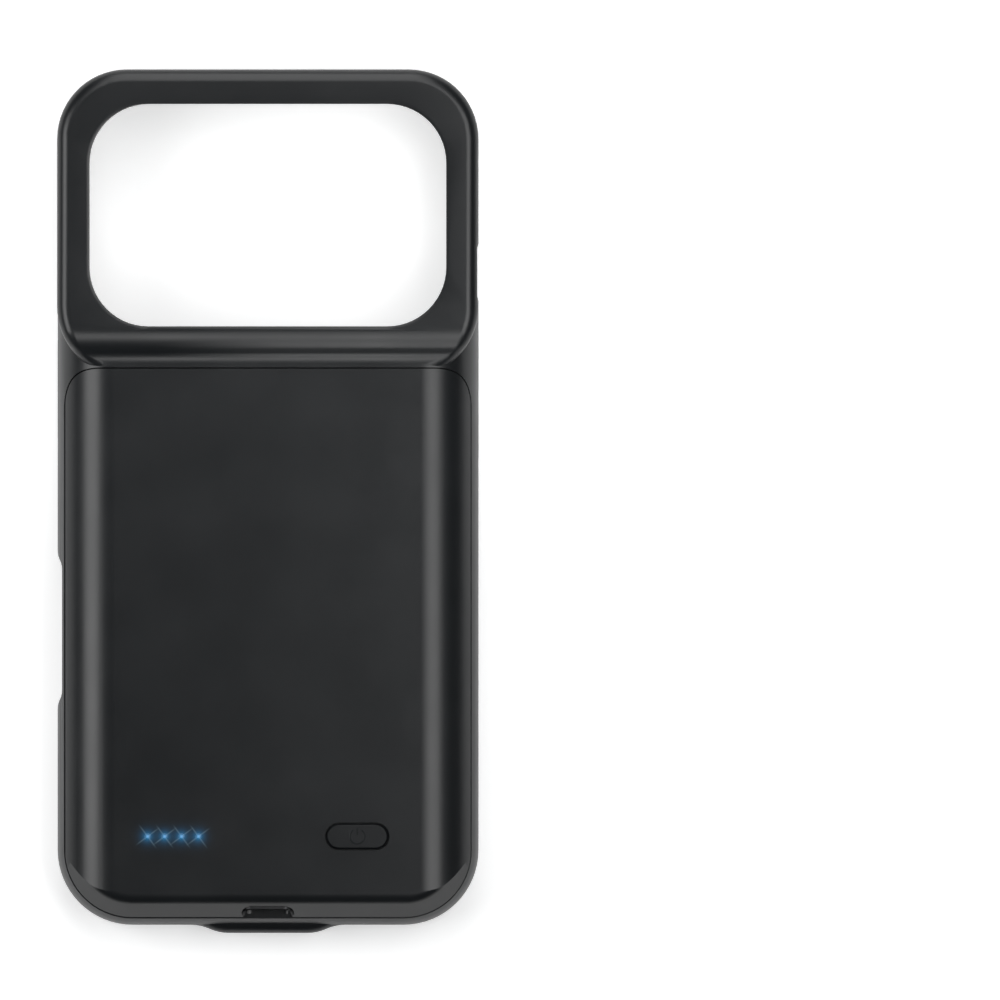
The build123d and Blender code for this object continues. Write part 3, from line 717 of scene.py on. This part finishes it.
def pouch_foil():
    """Laminated foil with soft creases."""
    material, tree, shader = new_material("Pouch foil", metallic=1.0)
    place = object_place(tree)
    creases = noise(tree, place, scale=70.0, detail=5.0, roughness=0.6)
    tree.links.new(
        mix_colour(tree, creases, (0.60, 0.61, 0.63), (0.76, 0.77, 0.79)),
        shader.inputs["Base Color"],
    )
    tree.links.new(noise_range(tree, creases, 0.30, 0.46), shader.inputs["Roughness"])
    tree.links.new(bump(tree, creases, strength=0.5, distance=0.3 * MM), shader.inputs["Normal"])
    return material


def paper_tape():
    """Pale tape with short fibres."""
    material, tree, shader = new_material("Adhesive tape")
    place = object_place(tree)
    fibres = noise(tree, place, scale=2600.0, detail=4.0, roughness=0.7)
    tree.links.new(
        mix_colour(tree, fibres, (0.66, 0.63, 0.55), (0.84, 0.82, 0.76)),
        shader.inputs["Base Color"],
    )
    tree.links.new(noise_range(tree, fibres, 0.7, 0.9), shader.inputs["Roughness"])
    tree.links.new(bump(tree, fibres, strength=0.5, distance=0.03 * MM), shader.inputs["Normal"])
    return material


def capacitor_ceramic():
    """Tan chip bodies with tinned ends, row by row along Y."""
    low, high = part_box("board_capacitors")
    length = details().capacitor_length
    spacing = high.y - low.y - length
    tinned_share = 0.19
    material, tree, shader = new_material("Chip capacitors")
    place = object_place(tree)
    parts = add_node(tree, "ShaderNodeSeparateXYZ")
    tree.links.new(place, parts.inputs[0])
    along = math_node(tree, "MODULO", math_node(tree, "SUBTRACT", parts.outputs["Y"], low.y), spacing)
    from_middle = math_node(tree, "ABSOLUTE", math_node(tree, "SUBTRACT", along, length / 2))
    ends = math_node(tree, "GREATER_THAN", from_middle, length / 2 - tinned_share * length)
    grain = noise(tree, place, scale=4000.0)
    body = mix_colour(tree, grain, (0.36, 0.25, 0.16), (0.46, 0.33, 0.22))
    tree.links.new(mix_colour(tree, ends, body, (0.72, 0.72, 0.70)), shader.inputs["Base Color"])
    tree.links.new(ends, shader.inputs["Metallic"])
    tree.links.new(noise_range(tree, grain, 0.35, 0.5), shader.inputs["Roughness"])
    return material


def flex_film():
    """Amber film with copper traces along it."""
    material, tree, shader = new_material("Flex film")
    place = object_place(tree)
    traces = add_node(
        tree,
        "ShaderNodeTexWave",
        {"Scale": 330.0, "Distortion": 0.0},
        wave_type="BANDS",
        bands_direction="X",
    )
    tree.links.new(place, traces.inputs["Vector"])
    copper = map_range(tree, traces.outputs[1], 0.45, 0.55, 0.0, 1.0)
    tree.links.new(
        mix_colour(tree, copper, (0.30, 0.13, 0.02), (0.48, 0.22, 0.07)),
        shader.inputs["Base Color"],
    )
    tree.links.new(map_range(tree, copper, 0.0, 1.0, 0.22, 0.32), shader.inputs["Roughness"])
    tree.links.new(bump(tree, copper, strength=0.4, distance=0.015 * MM), shader.inputs["Normal"])
    return material


def board_light():
    """Small lit chip light."""
    material, tree, shader = new_material("Board lights")
    tint = noise(tree, object_place(tree), scale=2000.0)
    tree.links.new(
        mix_colour(tree, tint, (0.62, 0.72, 0.80), (0.80, 0.88, 0.92)),
        shader.inputs["Base Color"],
    )
    shader.inputs["Roughness"].default_value = 0.3
    shader.inputs["Emission Color"].default_value = (*finish().light_colour, 1.0)
    shader.inputs["Emission Strength"].default_value = 1.0
    return material


# Mesh building blocks


def dress(node, material, edge_angle=EDGE_ANGLE):
    """Gives a node of the frame its finish, and smooth shading that breaks at its crisp edges."""
    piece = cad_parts[node]
    piece.data.materials.clear()
    piece.data.materials.append(material)
    piece.data.polygons.foreach_set("use_smooth", [True] * len(piece.data.polygons))
    weld = piece.modifiers.new("Weld", "WELD")
    weld.merge_threshold = WELD_REACH
    split = piece.modifiers.new("Keep edges", "EDGE_SPLIT")
    split.split_angle = math.radians(edge_angle)
    split.use_edge_sharp = False
    level = piece.modifiers.new("Level flats", "WEIGHTED_NORMAL")
    level.keep_sharp = True
    level.weight = FLAT_WEIGHT


def gilt(name):
    """Thin gold over drawn contact metal."""
    return drawn_metal(name, (0.80, 0.56, 0.22), roughness=0.24, line_size=0.05 * MM)


def contact_spots(sizes):
    """Place across and side, -1 below and 1 above, of each contact in two facing rows."""
    for i in range(sizes.contact_count):
        x = (i - (sizes.contact_count - 1) / 2) * sizes.contact_pitch
        for side in (-1, 1):
            yield x, side


def make_piece(name, build, body, material, smooth=True):
    """Makes a new piece from a bmesh, which build fills, and lets it ride on a body."""
    shape = bmesh.new()
    build(shape)
    bmesh.ops.recalc_face_normals(shape, faces=shape.faces)
    data = bpy.data.meshes.new(name)
    shape.to_mesh(data)
    shape.free()
    if smooth:
        data.polygons.foreach_set("use_smooth", [True] * len(data.polygons))
    piece = bpy.data.objects.new(name, data)
    bpy.context.scene.collection.objects.link(piece)
    data.materials.append(material)
    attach(piece, body)


def join_rings(shape, rings):
    """Side faces from each ring of corners to the next."""
    for first, second in zip(rings, rings[1:]):
        for i in range(len(first)):
            j = (i + 1) % len(first)
            shape.faces.new((first[i], first[j], second[j], second[i]))


def close_tube(shape, rings):
    """Side faces along rings of corners, and a face over each end."""
    join_rings(shape, rings)
    shape.faces.new(list(reversed(rings[0])))
    shape.faces.new(rings[-1])


def add_dome(shape, middle, radius, rise, rings=6, steps=32):
    """A shallow closed dome with a short skirt."""
    turns = [2 * math.pi * i / steps for i in range(steps)]
    outline = [(radius, -rise)]
    for ring in range(rings):
        tilt = ring / rings * math.pi / 2
        outline.append((radius * math.cos(tilt), rise * math.sin(tilt)))
    levels = []
    for out, up in outline:
        spots = [middle + Vector((out * math.cos(t), out * math.sin(t), up)) for t in turns]
        levels.append([shape.verts.new(spot) for spot in spots])
    join_rings(shape, levels)
    top = shape.verts.new((middle.x, middle.y, middle.z + rise))
    for i in range(steps):
        shape.faces.new((levels[-1][i], levels[-1][(i + 1) % steps], top))
    shape.faces.new(list(reversed(levels[0])))


def add_strip(shape, line, width_axis, width, up_axis, thickness):
    """A flat strip of that width and thickness along a line of points."""
    rings = []
    for point in line:
        corners = []
        for side, level in ((-1, 0), (1, 0), (1, 1), (-1, 1)):
            spot = point + width_axis * (side * width / 2) + up_axis * (level * thickness)
            corners.append(shape.verts.new(spot))
        rings.append(corners)
    close_tube(shape, rings)


def add_arc_band(shape, middle, radius, width, rise, start, end, top_share=0.7, steps=40):
    """A raised band along an arc, narrower at its top and closed at its ends."""
    rings = []
    for i in range(steps + 1):
        angle = start + (end - start) * i / steps
        way = Vector((math.cos(angle), math.sin(angle), 0.0))
        corners = []
        for out, level in ((-1, 0), (1, 0), (top_share, 1), (-top_share, 1)):
            spot = middle + way * (radius + out * width / 2) + Z_AXIS * (level * rise)
            corners.append(shape.verts.new(spot))
        rings.append(corners)
    close_tube(shape, rings)


# Operators, one for each piece or group of like pieces


class CASE_OT_frame(bpy.types.Operator):
    """Finish the main frame in satin black"""

    bl_idname = "case.frame"
    bl_label = "Main frame"

    def execute(self, context):
        dress("main_frame", satin_black("Satin black frame"))
        return {"FINISHED"}


class CASE_OT_cover(bpy.types.Operator):
    """Finish the battery cover, with the painted spill and painted rays of the status lights on it"""

    bl_idname = "case.cover"
    bl_label = "Battery cover"

    def execute(self, context):
        dress("battery_cover", cover_plastic_painted_glow(), edge_angle=COVER_EDGE_ANGLE)
        return {"FINISHED"}


class CASE_OT_keys(bpy.types.Operator):
    """Finish the key caps in the side walls"""

    bl_idname = "case.keys"
    bl_label = "Key caps"

    def execute(self, context):
        plastic = satin_black("Satin black keys", tint=0.95)
        for node in ("side_key", "volume_up_key", "volume_down_key"):
            dress(node, plastic)
        return {"FINISHED"}


class CASE_OT_button(bpy.types.Operator):
    """Finish the power button and its switch, and put the plain ring on its face"""

    bl_idname = "case.button"
    bl_label = "Power button"

    def execute(self, context):
        sizes = details()
        steel = drawn_metal("Stamped steel", (0.55, 0.55, 0.56), roughness=0.32, line_size=0.06 * MM)
        nylon = moulded_plastic("Black nylon", (0.03, 0.03, 0.03), roughness=0.5, grain_size=0.1 * MM)
        dress("power_button", satin_black("Satin black button", tint=0.98))
        dress("switch_body", steel)
        dress("switch_plunger", nylon)
        low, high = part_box("power_button")
        middle = Vector(((low.x + high.x) / 2, (low.y + high.y) / 2, high.z))

        def ring(shape):
            top = math.pi / 2
            half_gap = math.radians(32.0)
            add_arc_band(
                shape,
                middle,
                sizes.mark_radius,
                sizes.mark_width,
                sizes.mark_rise,
                start=top + half_gap,
                end=top + 2 * math.pi - half_gap,
            )
            bar_foot = 0.2 * sizes.mark_radius
            bar_top = 1.15 * sizes.mark_radius
            add_strip(
                shape,
                [middle + Vector((0, y, 0)) for y in (bar_foot, bar_top)],
                X_AXIS,
                sizes.mark_width,
                Z_AXIS,
                sizes.mark_rise,
            )

        dull = moulded_plastic(
            "Dull button mark", (0.004, 0.005, 0.006), roughness=0.33, grain_size=0.2 * MM, ior=1.38
        )
        make_piece("button_ring", ring, "power_button", dull, smooth=False)
        return {"FINISHED"}


class CASE_OT_lights(bpy.types.Operator):
    """Finish the status lights and set a lens on each light guide"""

    bl_idname = "case.lights"
    bl_label = "Status lights"

    def execute(self, context):
        sizes = details()
        lens = lit_lens()
        foam = moulded_plastic(
            "Foam rubber", (0.02, 0.02, 0.021), roughness=0.85, grain_size=0.3 * MM, depth=0.08 * MM
        )
        dress("light_guides", lens)
        dress("status_leds", board_light())
        dress("led_baffle", foam)
        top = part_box("light_guides")[1].z

        def domes(shape):
            for x, y in light_places():
                add_dome(shape, Vector((x, y, top)), sizes.lens_diameter / 2, sizes.lens_rise)

        make_piece("status_lenses", domes, "case", lens)
        return {"FINISHED"}


class CASE_OT_port(bpy.types.Operator):
    """Finish the charging port and lay the contacts on its tongue"""

    bl_idname = "case.port"
    bl_label = "Charging port"

    def execute(self, context):
        sizes = details()
        steel = drawn_metal(
            "Blackened port steel", (0.05, 0.05, 0.052), roughness=0.46, line_size=0.08 * MM
        )
        tongue = moulded_plastic(
            "Port moulding", (0.02, 0.02, 0.021), roughness=0.45, grain_size=0.08 * MM
        )
        dress("charge_port_shell", steel)
        dress("charge_port_tongue", tongue)
        low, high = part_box("charge_port_tongue")
        middle_z = (low.z + high.z) / 2
        start = low.y + sizes.contact_width
        end = start + sizes.port_contact_length

        def contacts(shape):
            for x, side in contact_spots(sizes):
                z = middle_z + side * sizes.port_tongue_height / 2
                line = [Vector((x, y, z)) for y in (start, end)]
                add_strip(
                    shape, line, X_AXIS, sizes.contact_width, side * Z_AXIS, sizes.contact_thickness
                )

        make_piece("port_contacts", contacts, "case", gilt("Gilt contacts"), smooth=False)
        return {"FINISHED"}


class CASE_OT_plug(bpy.types.Operator):
    """Finish the device plug and its flex, and set the spring contacts in its slot"""

    bl_idname = "case.plug"
    bl_label = "Device plug"

    def execute(self, context):
        sizes = details()
        steel = drawn_metal(
            "Drawn plug steel", (0.60, 0.60, 0.61), roughness=0.24, line_size=0.08 * MM
        )
        core = moulded_plastic(
            "Plug core moulding", (0.02, 0.02, 0.021), roughness=0.45, grain_size=0.08 * MM
        )
        base = moulded_plastic(
            "Plug base moulding", (0.018, 0.018, 0.019), roughness=0.40, grain_size=0.15 * MM
        )
        connector = moulded_plastic(
            "Connector moulding", (0.03, 0.03, 0.03), roughness=0.5, grain_size=0.1 * MM
        )
        dress("plug_shell", steel)
        dress("plug_core", core)
        dress("plug_base", base)
        dress("plug_flex", flex_film())
        dress("flex_connector", connector)
        low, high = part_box("plug_core")
        middle_z = (low.z + high.z) / 2
        mouth = high.y
        tip_depth = 0.3 * MM
        crown_depths = (0.7 * MM, 1.3 * MM)
        crown_rise = 2.5 * sizes.contact_thickness

        def springs(shape):
            for x, side in contact_spots(sizes):
                wall = middle_z + side * sizes.plug_slot_height / 2
                crown = wall - side * crown_rise
                line = [
                    Vector((x, mouth - tip_depth, wall)),
                    *(Vector((x, mouth - depth, crown)) for depth in crown_depths),
                    Vector((x, mouth - sizes.plug_contact_length, wall)),
                ]
                add_strip(
                    shape, line, X_AXIS, sizes.contact_width, -side * Z_AXIS, sizes.contact_thickness
                )

        make_piece("plug_contacts", springs, "case", gilt("Gilt springs"), smooth=False)
        return {"FINISHED"}


class CASE_OT_board(bpy.types.Operator):
    """Finish the main board and what is fixed to it"""

    bl_idname = "case.board"
    bl_label = "Main board"

    def execute(self, context):
        mask = solder_mask()
        chip = moulded_plastic(
            "Chip moulding", (0.022, 0.022, 0.023), roughness=0.55, grain_size=0.06 * MM
        )
        ferrite = moulded_plastic(
            "Moulded ferrite", (0.11, 0.11, 0.12), roughness=0.6, grain_size=0.25 * MM, depth=0.05 * MM
        )
        steel = drawn_metal(
            "Blackened steel", (0.16, 0.16, 0.17), roughness=0.34, line_size=0.06 * MM
        )
        dress("main_board", mask)
        dress("protection_board", mask)
        dress("boost_converter", chip)
        dress("charge_controller", chip)
        dress("power_inductor", ferrite)
        dress("board_capacitors", capacitor_ceramic())
        dress("board_screws", steel)
        return {"FINISHED"}


class CASE_OT_cell(bpy.types.Operator):
    """Finish the battery cell, its tape, tabs and straps"""

    bl_idname = "case.cell"
    bl_label = "Battery cell"

    def execute(self, context):
        nickel = drawn_metal("Nickel strip", (0.62, 0.60, 0.56), roughness=0.30, line_size=0.08 * MM)
        dress("battery_cell", pouch_foil())
        dress("cell_tape", paper_tape())
        dress("cell_tabs", nickel)
        dress("battery_leads", nickel)
        return {"FINISHED"}


def pale_floor():
    """Pale floor that keeps its shadow, reads as white from above and is clear from below."""
    values = studio()
    material, tree, shader = new_material("Pale floor")
    shader.inputs["Base Color"].default_value = (*values.floor_colour, 1.0)
    shader.inputs["Roughness"].default_value = 0.9
    shader.inputs["Emission Color"].default_value = (1.0, 1.0, 1.0, 1.0)
    far = add_node(tree, "ShaderNodeVectorMath", operation="LENGTH")
    tree.links.new(object_place(tree), far.inputs[0])
    white = map_range(
        tree, far.outputs["Value"], values.lift_start, values.lift_end, values.floor_lift, 1.0
    )
    path = add_node(tree, "ShaderNodeLightPath")
    seen = math_node(tree, "MAXIMUM", path.outputs["Is Camera Ray"], path.outputs["Is Transmission Ray"])
    lift = math_node(tree, "MULTIPLY", seen, white)
    mirrored = math_node(tree, "MULTIPLY", path.outputs["Is Glossy Ray"], values.mirror_lift)
    tree.links.new(math_node(tree, "MAXIMUM", lift, mirrored), shader.inputs["Emission Strength"])
    under = add_node(tree, "ShaderNodeNewGeometry").outputs["Backfacing"]
    tree.links.new(math_node(tree, "SUBTRACT", 1.0, under), shader.inputs["Alpha"])
    return material


def softbox(name, target, bearing, tilt, distance, width, length, power, spread=BARE_SPREAD):
    """An area lamp at a tilt from straight up, on a compass bearing from Y, aimed at a point."""
    lamp = bpy.data.lights.new(name, "AREA")
    lamp.shape = "RECTANGLE"
    lamp.size = width
    lamp.size_y = length
    lamp.energy = power
    lamp.spread = math.radians(spread)
    holder = bpy.data.objects.new(name, lamp)
    out = math.sin(math.radians(tilt))
    turned = math.radians(bearing)
    away = Vector((out * math.sin(turned), out * math.cos(turned), math.cos(math.radians(tilt))))
    holder.location = target + away * distance
    side = Z_AXIS.cross(away).normalized()
    up = away.cross(side)
    turn = Matrix((up, side, away)).transposed()
    holder.rotation_euler = turn.to_euler()
    holder.visible_camera = False
    bpy.context.scene.collection.objects.link(holder)


class CASE_OT_stage(bpy.types.Operator):
    """Set the pale floor, the lamps, the room light and the camera"""

    bl_idname = "case.stage"
    bl_label = "Studio"

    def execute(self, context):
        values = studio()
        scene = context.scene
        scene.view_settings.view_transform = "Standard"

        half = values.floor_size / 2
        plan = ((-half, -half), (half, -half), (half, half), (-half, half))
        data = bpy.data.meshes.new("floor")
        data.from_pydata([(x, y, -FLOOR_DROP) for x, y in plan], [], [range(len(plan))])
        data.materials.append(pale_floor())
        floor = bpy.data.objects.new("floor", data)
        scene.collection.objects.link(floor)

        world = bpy.data.worlds.new("Room")
        world.use_nodes = True
        room = world.node_tree.nodes["Background"]
        room.inputs["Color"].default_value = (*values.room_colour, 1.0)
        room.inputs["Strength"].default_value = values.room_level
        scene.world = world

        cover_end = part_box("battery_cover")[1]
        back = Vector((0.0, 0.0, cover_end.z))
        slope_reach = 4.0 * MM
        slope = Vector((0.0, cover_end.y + slope_reach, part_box("main_frame")[1].z))
        foot_shift = 22.0 * MM
        foot = slope + X_AXIS * foot_shift
        softbox(
            "Left softbox", back, bearing=-90.0, tilt=50.5, distance=0.45,
            width=0.2325, length=0.36, power=values.left_power,
        )
        softbox(
            "Right softbox", back, bearing=90.0, tilt=28.0, distance=0.40,
            width=0.20, length=0.36, power=values.right_power,
        )
        softbox(
            "Top softbox", back, bearing=0.0, tilt=52.0, distance=0.50,
            width=0.62, length=0.30, power=values.top_power,
        )
        softbox(
            "Slope lamp", slope, bearing=180.0, tilt=30.0, distance=0.11,
            width=0.06, length=0.12, power=values.slope_power, spread=GRID_SPREAD,
        )
        softbox(
            "Slope foot lamp", foot, bearing=180.0, tilt=52.0, distance=0.11,
            width=0.05, length=0.06, power=values.foot_power, spread=GRID_SPREAD,
        )

        lens = bpy.data.cameras.new("Camera")
        lens.lens = values.lens
        lens.sensor_width = SENSOR_WIDTH
        lens.clip_end = CAMERA_REACH
        camera = bpy.data.objects.new("Camera", lens)
        distance = values.picture_width * values.lens / SENSOR_WIDTH
        camera.location = (values.aim_right, values.aim_up, back.z + distance)
        scene.collection.objects.link(camera)
        scene.camera = camera
        return {"FINISHED"}


class CASE_PT_sidebar(bpy.types.Panel):
    """Lists the case's pieces in the order they are made"""

    bl_idname = "CASE_PT_sidebar"
    bl_label = "Battery charging case"
    bl_space_type = "VIEW_3D"
    bl_region_type = "UI"
    bl_category = "Case"

    def draw(self, context):
        for operator in OPERATORS:
            self.layout.operator(operator.bl_idname)
        for group in (finish(), details(), studio()):
            box = self.layout.box()
            for key in group.bl_rna.properties.keys():
                if key not in ("rna_type", "name"):
                    box.prop(group, key)


OPERATORS = (
    CASE_OT_frame,
    CASE_OT_cover,
    CASE_OT_keys,
    CASE_OT_button,
    CASE_OT_lights,
    CASE_OT_port,
    CASE_OT_plug,
    CASE_OT_board,
    CASE_OT_cell,
    CASE_OT_stage,
)
CLASSES = (CaseFinish, CaseDetails, CaseStudio, *OPERATORS, CASE_PT_sidebar)


def register():
    for cls in CLASSES:
        bpy.utils.register_class(cls)
    bpy.types.Scene.case_finish = bpy.props.PointerProperty(type=CaseFinish)
    bpy.types.Scene.case_details = bpy.props.PointerProperty(type=CaseDetails)
    bpy.types.Scene.case_studio = bpy.props.PointerProperty(type=CaseStudio)


def unregister():
    del bpy.types.Scene.case_studio
    del bpy.types.Scene.case_details
    del bpy.types.Scene.case_finish
    for cls in reversed(CLASSES):
        bpy.utils.unregister_class(cls)


def main():
    register()
    bpy.ops.case.frame()
    bpy.ops.case.cover()
    bpy.ops.case.keys()
    bpy.ops.case.button()
    bpy.ops.case.lights()
    bpy.ops.case.port()
    bpy.ops.case.plug()
    bpy.ops.case.board()
    bpy.ops.case.cell()
    bpy.ops.case.stage()


if __name__ == "__main__":
    main()
